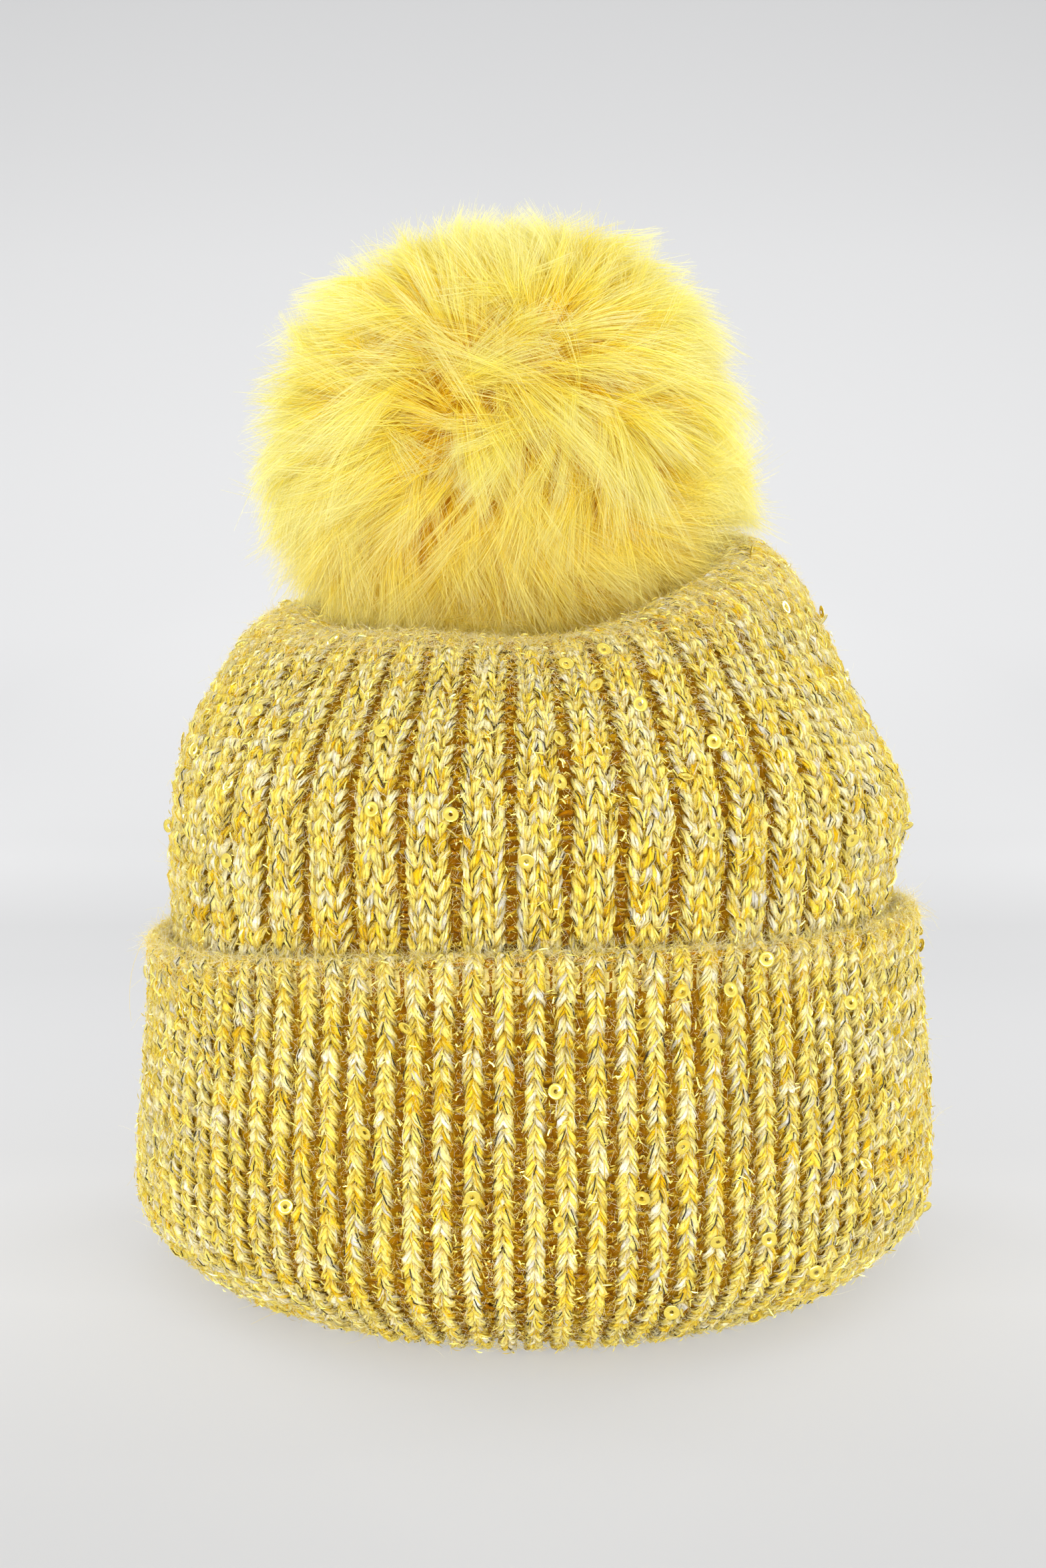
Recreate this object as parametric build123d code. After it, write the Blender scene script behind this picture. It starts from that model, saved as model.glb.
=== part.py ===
"""Ribbed knit beanie with a turned-up brim and a removable faux-fur pom-pom.

Frame: +Z up, front of the hat towards -Y, wearer's left towards +X, origin on the resting plane at the centre of the brim.
Millimetres. Everything made of yarn, fur or filling is a plain closed solid of the piece's outer shape.
"""
import math
import os
import random

from build123d import *

# ---------------------------------------------------------------- driving dimensions
OVAL = 1.07             # front-to-back size of the hat over its side-to-side size
KNIT_T = 5.0            # thickness of one layer of knit
BRIM_H = 79.0           # height of the turned-up layer, below its rolled edge
LAYER_GAP = 0.3         # air between the two layers of the brim at their top
FOLD_Z = 15.0           # height at which the fold becomes two upright layers
ROLL_R = 3.0            # radius of the rolled cast-on edge
FOOT_R0, FOOT_R1 = 77.8, 79.4   # inner and outer radius of the flat foot of the fold
CROWN_Z0 = 79.7         # where the crown knit starts above the inner layer
GATHER = (-6.0, -5.0)   # plan position of the gathered crown centre, under the pom-pom
GATHER_Z = 142.0        # top of the knit at the gathered centre
GATHER_HOLE_R = 5.0     # hole left by the gathering thread
PIVOT_Z = 139.5         # mid-thickness of the gathered knit, about which the fixing rocks
POM_Z = 205.0           # centre of the pom-pom's pile
POM_R = 53.0            # radius of the dense part of the pile, across
POM_H = 47.0            # half height of the dense part of the pile
PELT_Z = 198.0          # centre of the ball under the pile
PELT_R = 37.0           # radius of the gathered backing under the pile, across
PELT_H = 35.0
PELT_T = 1.5            # thickness of the backing
SEQUIN_R = 1.65
SEQUIN_HOLE_R = 0.42
SEQUIN_T = 0.16
SEQUINS_ON_BRIM = 84
SEQUINS_ON_CROWN = 60

# outer radius of the turned-up layer by height, before the oval
BRIM_OUT = [(FOLD_Z, 95.2), (20.0, 96.7), (26.0, 96.9), (40.0, 96.0), (55.0, 94.9), (69.0, 93.6), (BRIM_H, 93.0)]
# outer radius of the inner layer, next to the head
INNER_OUT = [(FOLD_Z, 88.4), (22.0, 89.2), (40.0, 89.0), (60.0, 88.2), (BRIM_H, 87.4)]
# outer radius of the sides of the crown by height
CROWN_WIDEST = 111.5
CROWN_SIDE = [(CROWN_Z0, 87.0), (85.0, 87.1), (90.0, 87.4), (95.5, 88.2), (101.0, 88.9), (106.0, 89.2), (CROWN_WIDEST, 89.2)]
# outer surface of the crown: radius, height, and how far the height follows the lopsided lift
CROWN_LEVELS = [
    (87.0, CROWN_Z0, 0.0, 0.00),
    (87.4, 90.0, 0.0, 0.00),
    (88.9, 101.0, 0.0, 0.00),
    (89.2, 111.5, 0.0, 0.00),
    (85.3, 123.5, 1.5, 0.03),
    (78.4, 134.5, 6.0, 0.08),
    (70.8, 143.5, 14.0, 0.16),
    (62.2, 149.0, 23.0, 0.30),
    (53.0, 150.0, 26.0, 0.48),
    (43.0, 148.0, 18.5, 0.66),
    (32.0, 145.0, 9.5, 0.84),
    (21.0, 142.8, 3.0, 0.96),
    (13.0, GATHER_Z + 0.1, 0.0, 1.00),
    (7.0, GATHER_Z, 0.0, 1.00),
]

os.makedirs("parts", exist_ok=True)


def save(name, shape):
    export_step(shape, f"parts/{name}.step")
    print(name, round(shape.volume / 1000.0, 2), "cm3", "valid" if shape.is_valid else "NOT VALID")


def oval(shape):
    return scale(shape, by=(1, OVAL, 1))


def lift(a):
    """How far the top of the crown stands up, by direction: high at the back and at +X, low at the front."""
    return 0.5675 + 0.265 * math.cos(a) + 0.5 * math.sin(a) + 0.0675 * math.cos(2 * a)


def crown_point(k, a):
    r, z, lifted, shift = CROWN_LEVELS[k]
    return (
        GATHER[0] * shift + r * math.cos(a),
        GATHER[1] * shift + r * (OVAL + (1 - OVAL) * shift) * math.sin(a),
        z + lifted * lift(a),
    )


def meridian_normal(k, a):
    """Outward normal of the crown in its own meridian plane."""
    lo, hi = max(k - 1, 0), min(k + 1, len(CROWN_LEVELS) - 1)
    p, q = crown_point(lo, a), crown_point(hi, a)
    dr = (q[0] - p[0]) * math.cos(a) + (q[1] - p[1]) * math.sin(a)
    dz = q[2] - p[2]
    n = math.hypot(dr, dz)
    nr, nz = dz / n, -dr / n
    return nr * math.cos(a), nr * math.sin(a), nz


def crown_solid(inset):
    """The solid inside the crown surface moved inwards by inset."""
    wires = []
    last = len(CROWN_LEVELS) - 1
    for k in range(last + 1):
        pts = []
        for i in range(28):
            a = 2 * math.pi * i / 28
            x, y, z = crown_point(k, a)
            if inset:
                nx, ny, nz = (math.cos(a), math.sin(a), 0) if k == 0 else (0, 0, 1) if k >= last - 1 else meridian_normal(k, a)
                x, y, z = x - inset * nx, y - inset * ny, z - inset * nz
            pts.append((x, y, z))
        if k == 0 and inset:
            wires.append(Wire([Edge.make_spline([Vector(px, py, pz - 6) for px, py, pz in pts], periodic=True)]))
        wires.append(Wire([Edge.make_spline([Vector(*p) for p in pts], periodic=True)]))
    return Solid.make_loft(wires, ruled=False)


def ring_section(points):
    """A closed section in the XZ plane turned about Z and made oval. Each point is (radius, height)."""
    face = Plane.XZ * make_face(Polyline(*points, close=True))
    return oval(revolve(face, Axis.Z, 360))


# ---------------------------------------------------------------- brim: two layers joined at the fold
outer = [(r, z) for z, r in BRIM_OUT]
turn_up = ring_section(outer + [(r - KNIT_T - 0.2, z) for r, z in reversed(outer)])
save("brim_turn_up", turn_up)

# the inner layer runs from the fold to the start of the crown
inner = [(r, z) for z, r in INNER_OUT] + [(CROWN_SIDE[0][1], CROWN_Z0)]
inner_layer = ring_section(inner + [(r - KNIT_T, z) for r, z in reversed(inner)])
save("brim_inner_layer", inner_layer)

# the fold: it turns in under the brim, with a flat foot where it rests and a slit between its two layers
fold_out = [(95.2, FOLD_Z), (92.8, 11.5), (89.4, 8.0), (85.6, 4.8), (82.2, 2.0), (FOOT_R1, 0.0), (FOOT_R1, -2.0)]
fold_in = [(FOOT_R0, -2.0), (FOOT_R0, 0.0), (77.2, 1.6), (77.8, 5.0), (80.2, 10.0), (83.4, FOLD_Z)]
hollow = [(88.4, FOLD_Z), (86.6, 10.0), (87.0, 9.8), (90.0, FOLD_Z)]
fold_face = Plane.XZ * make_face(Polyline(*fold_out, *fold_in, *hollow, close=True))
save("brim_fold", oval(revolve(fold_face, Axis.Z, 360)) - Pos(0, 0, -5) * Box(300, 300, 10))

# the rolled cast-on edge along the top of the turned-up layer
roll_mid = BRIM_OUT[-1][1] - 2.1
roll_face = Plane.XZ * (
    Pos(roll_mid, BRIM_H + 2.2) * Circle(ROLL_R)
    & Pos(roll_mid + 5 - (roll_mid - 88.5), BRIM_H + 10) * Rectangle(10, 20)
)
save("brim_rolled_edge", oval(revolve(roll_face, Axis.Z, 360)))

# ---------------------------------------------------------------- crown
# the sides, from the brim up to the widest level
side = [(r, z) for z, r in CROWN_SIDE]
save("crown_side_knit", ring_section(side + [(r - KNIT_T, z) for r, z in reversed(side)]))

# the shaped top, from the widest level in to the gather
crown_outer = crown_solid(0)
crown_inner = crown_solid(KNIT_T)
crown = crown_outer - crown_inner
crown -= Pos(GATHER[0], GATHER[1], GATHER_Z) * Cylinder(GATHER_HOLE_R, 30)
crown -= Pos(0, 0, CROWN_WIDEST - 50) * Box(300, 300, 100)
save("crown_top_knit", max(crown.solids(), key=lambda s: s.volume))

# drawn-up gathering thread round the hole, lying on the knit
save("crown_gather_thread", Pos(GATHER[0], GATHER[1], GATHER_Z + 0.85) * (Cylinder(9.8, 1.1) - Cylinder(8.2, 1.1)))

# seam that closes the knitted panel into a tube, a ridge inside at the centre back
seam_outer = crown_solid(KNIT_T + 0.9)
seam_inner = crown_solid(KNIT_T + 3.1)
seam = (seam_outer - seam_inner) & (Pos(0, 65, CROWN_Z0 + 45.05) * Box(5.0, 100, 90))
seam = max(seam.solids(), key=lambda s: s.volume)
save("crown_back_seam", seam)
band = [(r - KNIT_T - 0.15, z) for r, z in inner[:-1]]
seam_low = ring_section(band + [(r - 2.2, z) for r, z in reversed(band)]) & (Pos(0, 90, 50) * Box(5.0, 60, 100))
save("brim_back_seam", max(seam_low.solids(), key=lambda s: s.volume))

# blank care label folded into the seam, hanging inside the brim, with its two stitches
label_y = (88.5 - KNIT_T - 2.35) * OVAL
label = Pos(9.6, label_y - 1.9, 42) * Rot(0, 0, -8) * Box(14.0, 0.5, 28.0)
save("care_label", label)
save("care_label_stitches", Compound([Pos(3.9, label_y - 1.75, z) * Box(2.4, 0.4, 3.0) for z in (32.0, 52.0)]))

# bar tacks that hold the turned-up layer to the inner one, at both sides and the back
tacks = []
for deg in (0.0, 90.0, 180.0):
    a = math.radians(deg)
    r = 90.25
    tacks.append(Pos(r * math.cos(a), r * OVAL * math.sin(a), 30.0) * Rot(0, 0, deg) * Box(1.8, 1.6, 3.4))
save("brim_tack_stitches", Compound(tacks))

# ---------------------------------------------------------------- press stud that carries the pom-pom
gx, gy = GATHER


def on_axis(shape, z):
    return Pos(gx, gy, z) * shape


save("stud_backing_disc", on_axis(Cylinder(7.5, 1.0) - Cylinder(1.2, 3), GATHER_Z - KNIT_T - 2.6))
save("stud_thread_shank", on_axis(Cylinder(1.9, 8.1), GATHER_Z - KNIT_T + 2.85))
stud = (
    on_axis(Cylinder(7.0, 0.9), GATHER_Z + 2.35)
    + on_axis(Cylinder(2.0, 2.0), GATHER_Z + 3.7)
    + on_axis(Sphere(2.45), GATHER_Z + 5.2)
)
stud -= on_axis(Box(20, 20, 4), GATHER_Z + 8.3)
save("stud_base", stud)
socket = on_axis(Cylinder(7.0, 3.6), GATHER_Z + 5.15)
socket -= on_axis(Cylinder(2.85, 3.9), GATHER_Z + 4.7)
socket -= on_axis(Cylinder(4.1, 1.0), GATHER_Z + 4.2)
save("socket_cap", socket)
ring = on_axis(Torus(3.4, 0.35), GATHER_Z + 4.2)
ring -= Pos(gx, gy - 3.4, GATHER_Z + 4.2) * Box(1.6, 3, 3)
save("socket_spring", ring)

# ---------------------------------------------------------------- pom-pom
def ellipsoid(rx, rz, z):
    return on_axis(scale(Sphere(rx), by=(1, 1, rz / rx)), z)


NECK_R = 8.0
save("pom_stuffing", ellipsoid(PELT_R - PELT_T - 0.2, PELT_H - PELT_T - 0.2, PELT_Z))
# gathered neck below the ball, drawn in by its thread
neck = on_axis(Cone(NECK_R - 1.5, 13.0, 13.0), GATHER_Z + 17.1)
pelt = (ellipsoid(PELT_R, PELT_H, PELT_Z) + neck) - ellipsoid(PELT_R - PELT_T, PELT_H - PELT_T, PELT_Z)
save("pom_backing", max(pelt.solids(), key=lambda s: s.volume))
save("pom_gather_thread", on_axis(Cylinder(NECK_R + 1.2, 1.4) - Cylinder(NECK_R - 0.2, 1.4), GATHER_Z + 11.6))
save("pom_sewing_thread", Compound([
    Pos(gx + 4.6 * math.cos(a), gy + 4.6 * math.sin(a), GATHER_Z + 8.75) * Cylinder(0.5, 3.5)
    for a in (0.8, 2.37, 3.94, 5.51)
]))
fur = ellipsoid(POM_R, POM_H, POM_Z) - ellipsoid(PELT_R + 0.2, PELT_H + 0.2, PELT_Z)
fur -= on_axis(Cone(11.5, 17.5, 18.0), GATHER_Z + 18.0)
save("pom_fur", max(fur.solids(), key=lambda s: s.volume))

# ---------------------------------------------------------------- sequins threaded on the carry-along yarn
rng = random.Random(11)


def sequin_at(p, n, spin, tip_a, tip_b, off):
    """A small ring lying on the knit with outward normal n, tipped a little."""
    d = Vector(*n).normalized()
    x_dir = Vector(-d.Y, d.X, 0.0)
    x_dir = x_dir.normalized() if x_dir.length > 0.05 else Vector(1, 0, 0)
    plane = Plane(origin=Vector(*p) + d * off, x_dir=x_dir, z_dir=d)
    ring = Cylinder(SEQUIN_R, SEQUIN_T) - Cylinder(SEQUIN_HOLE_R, SEQUIN_T * 3)
    return plane * Rot(tip_a, tip_b, spin) * ring


def spread(count, make, gap):
    """count places from make(), none within gap of another."""
    found = []
    while len(found) < count:
        p, n = make()
        if all((p[0] - q[0]) ** 2 + (p[1] - q[1]) ** 2 + (p[2] - q[2]) ** 2 > gap * gap for q, _ in found):
            found.append((p, n))
    return found


def brim_place():
    a, z = rng.uniform(0, 2 * math.pi), rng.uniform(FOLD_Z, BRIM_H - 4)
    for (z0, r0), (z1, r1) in zip(BRIM_OUT, BRIM_OUT[1:]):
        if z0 <= z <= z1:
            r = r0 + (r1 - r0) * (z - z0) / (z1 - z0)
    return (r * math.cos(a), r * OVAL * math.sin(a), z), (math.cos(a), math.sin(a) / OVAL, (r0 - r1) / (z1 - z0))


def crown_place():
    a, u = rng.uniform(0, 2 * math.pi), rng.uniform(1.2, 7.6)
    k = int(u)
    p, q = crown_point(k, a), crown_point(k + 1, a)
    t = u - k
    m, n = meridian_normal(k, a), meridian_normal(k + 1, a)
    return tuple(p[i] + (q[i] - p[i]) * t for i in range(3)), tuple(m[i] + (n[i] - m[i]) * t for i in range(3))


for name, count, place, off in (
    ("brim_sequins", SEQUINS_ON_BRIM, brim_place, 1.2),
    ("crown_sequins", SEQUINS_ON_CROWN, crown_place, 1.5),
):
    rings = [
        sequin_at(p, n, rng.uniform(0, 360), rng.uniform(-18, 18), rng.uniform(-18, 18), off)
        for p, n in spread(count, place, 9.0)
    ]
    save(name, Compound([s for r in rings for s in r.solids()]))
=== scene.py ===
import math

import bpy
import numpy as np
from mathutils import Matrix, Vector


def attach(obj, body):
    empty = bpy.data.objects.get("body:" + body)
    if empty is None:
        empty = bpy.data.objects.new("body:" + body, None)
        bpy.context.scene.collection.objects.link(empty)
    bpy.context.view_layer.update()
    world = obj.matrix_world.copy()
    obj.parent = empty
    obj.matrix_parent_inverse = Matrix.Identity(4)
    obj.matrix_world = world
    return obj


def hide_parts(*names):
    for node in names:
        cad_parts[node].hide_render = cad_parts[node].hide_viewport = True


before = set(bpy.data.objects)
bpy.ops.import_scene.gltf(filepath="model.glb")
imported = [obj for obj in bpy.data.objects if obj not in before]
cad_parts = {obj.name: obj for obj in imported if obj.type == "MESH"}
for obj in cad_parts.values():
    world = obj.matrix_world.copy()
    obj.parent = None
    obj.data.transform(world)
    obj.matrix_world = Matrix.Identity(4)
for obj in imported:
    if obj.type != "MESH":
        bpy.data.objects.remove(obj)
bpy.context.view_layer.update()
TAU = 2 * math.pi
MM = 0.001


def lin(*c):
    """Linear colour of an 8-bit sRGB one."""
    c = np.asarray(c, float) / 255
    return np.where(c <= 0.04045, c / 12.92, ((c + 0.055) / 1.055) ** 2.4)


# ------------------------------------------------------------------ materials
def material(name, base=(0.8, 0.8, 0.8), attr=None, noise=None, bump=None, rough=0.8, metal=0.0, sheen=0.0, sheen_tint=None,
             spec=0.4, through=0.0, sub=0.0, coat=0.0, painted_glow=0.0):
    m = bpy.data.materials.new(name)
    m.use_nodes = True
    nt = m.node_tree
    p = nt.nodes["Principled BSDF"]
    out = nt.nodes["Material Output"]
    p.inputs["Roughness"].default_value = rough
    p.inputs["Metallic"].default_value = metal
    p.inputs["Specular IOR Level"].default_value = spec
    p.inputs["Sheen Weight"].default_value = sheen
    p.inputs["Sheen Roughness"].default_value = 0.5
    if sheen_tint is not None:
        p.inputs["Sheen Tint"].default_value = (*sheen_tint, 1)
    p.inputs["Coat Weight"].default_value = coat
    p.inputs["Coat Roughness"].default_value = 0.15
    if sub:
        p.inputs["Subsurface Weight"].default_value = sub
        p.inputs["Subsurface Radius"].default_value = (1.0, 0.7, 0.25)
        p.inputs["Subsurface Scale"].default_value = 0.002
    colour = None
    if attr:
        a = nt.nodes.new("ShaderNodeAttribute")
        a.attribute_name = attr
        colour = a.outputs["Color"]
    else:
        p.inputs["Base Color"].default_value = (*base, 1)
    if noise:
        scale, low, high = noise
        tc = nt.nodes.new("ShaderNodeTexCoord")
        n = nt.nodes.new("ShaderNodeTexNoise")
        n.inputs["Scale"].default_value = scale
        n.inputs["Detail"].default_value = 3.0
        nt.links.new(tc.outputs["Object"], n.inputs["Vector"])
        r = nt.nodes.new("ShaderNodeMapRange")
        r.inputs["From Min"].default_value = 0.3
        r.inputs["From Max"].default_value = 0.7
        r.inputs["To Min"].default_value = low
        r.inputs["To Max"].default_value = high
        nt.links.new(n.outputs["Fac"], r.inputs["Value"])
        h = nt.nodes.new("ShaderNodeHueSaturation")
        if colour is None:
            h.inputs["Color"].default_value = (*base, 1)
        else:
            nt.links.new(colour, h.inputs["Color"])
        nt.links.new(r.outputs["Result"], h.inputs["Value"])
        colour = h.outputs["Color"]
    if colour is not None:
        nt.links.new(colour, p.inputs["Base Color"])
        if painted_glow:   # painted light: the surface glows in its own colour; on fur and fuzz this stands in for light scattered many times between fine fibres, on the backdrop it lifts the shadows
            nt.links.new(colour, p.inputs["Emission Color"])
            p.inputs["Emission Strength"].default_value = painted_glow
    if bump:
        scale, strength, dist = bump
        tc = nt.nodes.new("ShaderNodeTexCoord")
        n = nt.nodes.new("ShaderNodeTexNoise")
        n.inputs["Scale"].default_value = scale
        n.inputs["Detail"].default_value = 2.0
        nt.links.new(tc.outputs["Object"], n.inputs["Vector"])
        b = nt.nodes.new("ShaderNodeBump")
        b.inputs["Strength"].default_value = strength
        b.inputs["Distance"].default_value = dist
        nt.links.new(n.outputs["Fac"], b.inputs["Height"])
        nt.links.new(b.outputs["Normal"], p.inputs["Normal"])
    if through:
        t = nt.nodes.new("ShaderNodeBsdfTranslucent")
        if colour is not None:
            nt.links.new(colour, t.inputs["Color"])
        else:
            t.inputs["Color"].default_value = (*base, 1)
        mix = nt.nodes.new("ShaderNodeMixShader")
        mix.inputs["Fac"].default_value = through
        nt.links.new(p.outputs["BSDF"], mix.inputs[1])
        nt.links.new(t.outputs["BSDF"], mix.inputs[2])
        nt.links.new(mix.outputs["Shader"], out.inputs["Surface"])
    return m


M_YARN = material("yarn", attr="tint", noise=(1100.0, 0.86, 1.12), bump=(3000.0, 0.6, 0.0005), rough=0.9, sheen=0.06,
                  sheen_tint=(1.0, 0.92, 0.5), spec=0.06)
M_LUREX = material("lurex", base=tuple(lin(255, 238, 122)), rough=0.34, metal=0.6, spec=0.7)
# painted light: the fuzz and the fur glow faintly in their own colours
M_HAIR = material("fuzz", attr="tint", rough=0.8, spec=0.08, through=0.5, painted_glow=0.03)
M_FUR = material("fur", attr="tint", rough=0.6, spec=0.1, through=0.5, painted_glow=0.05)
M_SEQUIN = material("sequin", base=tuple(lin(250, 226, 92)), rough=0.16, metal=0.7, spec=0.8, coat=0.6)
M_BACK = material("yarn_depth", attr="tint", noise=(700.0, 0.8, 1.1), bump=(1500.0, 0.6, 0.0006), rough=0.95, spec=0.1)
M_THREAD = material("thread", base=tuple(lin(226, 200, 120)), noise=(1500.0, 0.8, 1.1), rough=0.7)
M_METAL = material("plated", base=tuple(lin(214, 204, 178)), rough=0.28, metal=1.0)
M_DISC = material("disc", base=tuple(lin(236, 232, 218)), rough=0.5)
M_LABEL = material("label", base=tuple(lin(240, 238, 230)), rough=0.42, sheen=0.3, bump=(3000.0, 0.3, 0.0002))
M_FILL = material("filling", base=tuple(lin(240, 238, 230)), rough=0.95, bump=(400.0, 0.8, 0.002))
M_PELT = material("pelt", base=tuple(lin(250, 204, 34)), rough=0.9, noise=(300.0, 0.85, 1.05))


# ------------------------------------------------------------------ mesh building
def add_mesh(name, verts, faces, mat, tint=None, smooth=True):
    """faces is an (n, 3) or (n, 4) array; verts are in millimetres."""
    me = bpy.data.meshes.new(name)
    nf, k = faces.shape
    me.vertices.add(len(verts))
    me.vertices.foreach_set("co", (np.asarray(verts, np.float32) * MM).ravel())
    me.loops.add(nf * k)
    me.loops.foreach_set("vertex_index", faces.astype(np.int32).ravel())
    me.polygons.add(nf)
    me.polygons.foreach_set("loop_start", np.arange(0, nf * k, k, dtype=np.int32))
    me.polygons.foreach_set("use_smooth", np.full(nf, smooth))
    me.update(calc_edges=True)
    me.validate()
    if tint is not None:
        at = me.color_attributes.new("tint", "FLOAT_COLOR", "POINT")
        c = np.ones((len(verts), 4), np.float32)
        c[:, :3] = tint
        at.data.foreach_set("color", c.ravel())
    me.materials.append(mat)
    o = bpy.data.objects.new(name, me)
    bpy.context.scene.collection.objects.link(o)
    return o


def unit(v):
    return v / np.maximum(np.linalg.norm(v, axis=-1, keepdims=True), 1e-9)


def tangents(c):
    t = np.empty_like(c)
    t[:, 1:-1] = c[:, 2:] - c[:, :-2]
    t[:, 0] = c[:, 1] - c[:, 0]
    t[:, -1] = c[:, -1] - c[:, -2]
    return unit(t)


def tubes(c, ref, rad, sides, phase=None):
    """Open tubes along centrelines c (n, k, 3), with reference normals ref and radii rad (n, k)."""
    n, k, _ = c.shape
    t = tangents(c)
    b = unit(np.cross(t, ref))
    u = np.cross(b, t)
    ang = np.arange(sides) * TAU / sides
    if phase is None:
        phase = np.zeros(n)
    ang = ang[None, None, :] + phase[:, None, None]
    v = c[:, :, None] + rad[:, :, None, None] * (np.cos(ang)[..., None] * b[:, :, None] + np.sin(ang)[..., None] * u[:, :, None])
    base = (np.arange(n) * k * sides)[:, None, None]
    ring = (np.arange(k - 1) * sides)[None, :, None]
    j = np.arange(sides)[None, None, :]
    jn = (j + 1) % sides
    f = np.stack([base + ring + j, base + ring + jn, base + ring + sides + jn, base + ring + sides + j], axis=-1)
    return v.reshape(-1, 3), f.reshape(-1, 4)


def ribbons(c, side, width):
    """Flat strands along c (n, k, 3), side (n, 3), width (n, k)."""
    n, k, _ = c.shape
    t = tangents(c)
    s = unit(np.cross(t, side[:, None, :]))
    v = np.stack([c - s * width[..., None] / 2, c + s * width[..., None] / 2], axis=2)
    base = (np.arange(n) * k * 2)[:, None]
    i = (np.arange(k - 1) * 2)[None, :]
    f = np.stack([base + i, base + i + 1, base + i + 3, base + i + 2], axis=-1)
    return v.reshape(-1, 3), f.reshape(-1, 4)


class Joined:
    """Collects pieces of one kind and writes them as one mesh."""

    def __init__(self):
        self.v, self.f, self.c, self.n = [], [], [], 0

    def add(self, v, f, c):
        self.v.append(v)
        self.f.append(f + self.n)
        self.c.append(c)
        self.n += len(v)

    def make(self, name, mat):
        return add_mesh(name, np.concatenate(self.v), np.concatenate(self.f), mat, np.concatenate(self.c))


def smooth_noise(rng, shape, reach):
    """Noise over a (rows, cols) grid, wrapping round the columns, smoothed along them by reach."""
    x = rng.standard_normal(shape)
    k = np.exp(-0.5 * (np.arange(-4, 5) / reach) ** 2)
    y = sum(w * np.roll(x, i, axis=1) for i, w in zip(range(-4, 5), k))
    return y / np.sqrt((k**2).sum())


# ------------------------------------------------------------------ shape of the hat
OVAL = 1.07
GATHER = (-6.0, -5.0)
GATHER_Z = 142.0
CROWN_LEVELS = np.array([
    (86.6, 72.0, 0.0, 0.00),
    (87.0, 80.0, 0.0, 0.00),
    (87.8, 90.0, 0.0, 0.00),
    (89.0, 101.0, 0.0, 0.00),
    (89.3, 111.5, 0.0, 0.00),
    (85.6, 123.5, 1.5, 0.03),
    (78.7, 134.5, 6.0, 0.08),
    (71.2, 143.8, 14.0, 0.16),
    (62.6, 149.6, 23.0, 0.30),
    (53.4, 150.6, 26.0, 0.48),
    (43.5, 148.6, 18.5, 0.66),
    (32.5, 145.4, 9.5, 0.84),
    (21.5, 143.2, 3.0, 0.96),
    (13.0, GATHER_Z + 0.5, 0.0, 1.00),
    (8.0, GATHER_Z + 0.2, 0.0, 1.00),
])
CUFF_LINE = np.array([
    (88.3, 76.0), (88.4, 80.5), (89.2, 83.6), (91.0, 85.0), (92.9, 84.3), (93.7, 81.8), (93.6, 78.0), (94.0, 69.0), (95.2, 55.0),
    (96.2, 40.0), (97.1, 27.0), (96.9, 20.0), (95.6, 15.0), (92.4, 10.2), (88.0, 6.0), (83.4, 2.4), (80.0, 0.7), (77.8, 1.3),
    (76.9, 4.4), (78.6, 9.0), (82.6, 15.5),
])


def spline(x, y):
    """Natural cubic through the points; y may have several columns."""
    x, y = np.asarray(x, float), np.asarray(y, float)
    n = len(x)
    h = np.diff(x)
    a = np.zeros((n, n))
    b = np.zeros((n,) + y.shape[1:])
    a[0, 0] = a[-1, -1] = 1
    for i in range(1, n - 1):
        a[i, i - 1], a[i, i], a[i, i + 1] = h[i - 1], 2 * (h[i - 1] + h[i]), h[i]
        b[i] = 6 * ((y[i + 1] - y[i]) / h[i] - (y[i] - y[i - 1]) / h[i - 1])
    m = np.linalg.solve(a, b)

    def f(q):
        q = np.asarray(q, float)
        i = np.clip(np.searchsorted(x, q) - 1, 0, n - 2)
        t = q - x[i]
        hh = h[i]
        e = (slice(None),) * q.ndim + (None,) * (y.ndim - 1)
        t, hh = t[e], hh[e]
        return y[i] + t * ((y[i + 1] - y[i]) / hh - hh * (2 * m[i] + m[i + 1]) / 6) + t**2 * m[i] / 2 + t**3 * (m[i + 1] - m[i]) / (6 * hh)

    return f


def lift(a):
    return 0.5675 + 0.265 * np.cos(a) + 0.5 * np.sin(a) + 0.0675 * np.cos(2 * a)


def squarish(a, n=2.08):
    """A plan a little fuller than an ellipse, or a little leaner with n under 2."""
    return (np.abs(np.cos(a)) ** n + np.abs(np.sin(a)) ** n) ** (-1 / n)


def along(points):
    return np.concatenate([[0], np.cumsum(np.linalg.norm(np.diff(points, axis=0), axis=1))])


_mid = CROWN_LEVELS[:, :2].copy()
_mid[:, 1] += CROWN_LEVELS[:, 2] * 0.5
_crown_s = along(_mid)
_crown_f = spline(_crown_s, CROWN_LEVELS)
CROWN_LEN = _crown_s[-1]


def crown_at(a, s):
    q = _crown_f(s)
    r, z, up, sh = q[..., 0], q[..., 1], q[..., 2], q[..., 3]
    full = 1 + (squarish(a) - 1) * np.clip((r - 30) / 50, 0, 1)
    r = r * full
    r = r + np.exp(-(((z - 111) / 13) ** 2)) * (1.7 * np.cos(a) + 0.7 * np.sin(3 * a + 1.0) + 0.5 * np.sin(5 * a + 2.2))
    r = r + np.exp(-(((z - 140) / 12) ** 2)) * (0.9 * np.sin(4 * a + 0.4) + 0.6 * np.sin(7 * a + 1.3)) * np.clip((r - 30) / 40, 0, 1)
    z = z + up * lift(a) + np.clip(up / 26, 0, 1) * (1.3 * np.sin(3 * a + 2.0) + 0.8 * np.sin(6 * a + 0.5))
    x = GATHER[0] * sh + r * np.cos(a)
    y = GATHER[1] * sh + r * (OVAL + (1 - OVAL) * sh) * np.sin(a)
    return np.stack([x, y, z], axis=-1)


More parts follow.
